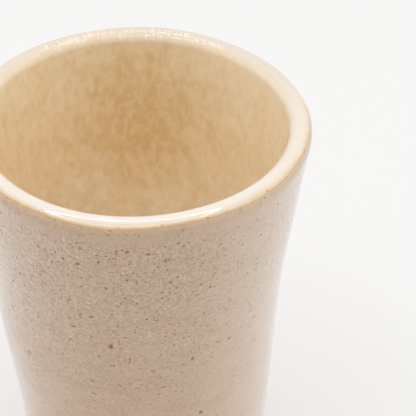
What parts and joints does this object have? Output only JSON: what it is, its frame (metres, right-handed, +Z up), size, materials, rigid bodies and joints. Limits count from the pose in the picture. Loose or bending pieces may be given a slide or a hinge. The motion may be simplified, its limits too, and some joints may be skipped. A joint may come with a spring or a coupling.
{
  "type": "espresso cup",
  "caption": "Handleless thrown stoneware espresso cup with a flared wall, a glossy honey glaze inside and over the lip, a satin beige glaze outside and a bare foot ring.",
  "frame": {"origin": "middle of the foot ring's underside, on the table", "axes": "+Z up along the cup's axis of turning; X and Y are free, because the cup is round"},
  "size_m": [0.06, 0.06, 0.078],
  "materials": {
    "stoneware": "bare fired clay with dark specks",
    "honey_glaze": "glossy, translucent honey, paler on the lip",
    "satin_glaze": "satin pinkish beige with brown pinholes and specks"
  },
  "bodies": {
    "root": {"stoneware_body": "stoneware", "liner_glaze": "honey_glaze", "outer_glaze": "satin_glaze"}
  },
  "joints": []
}
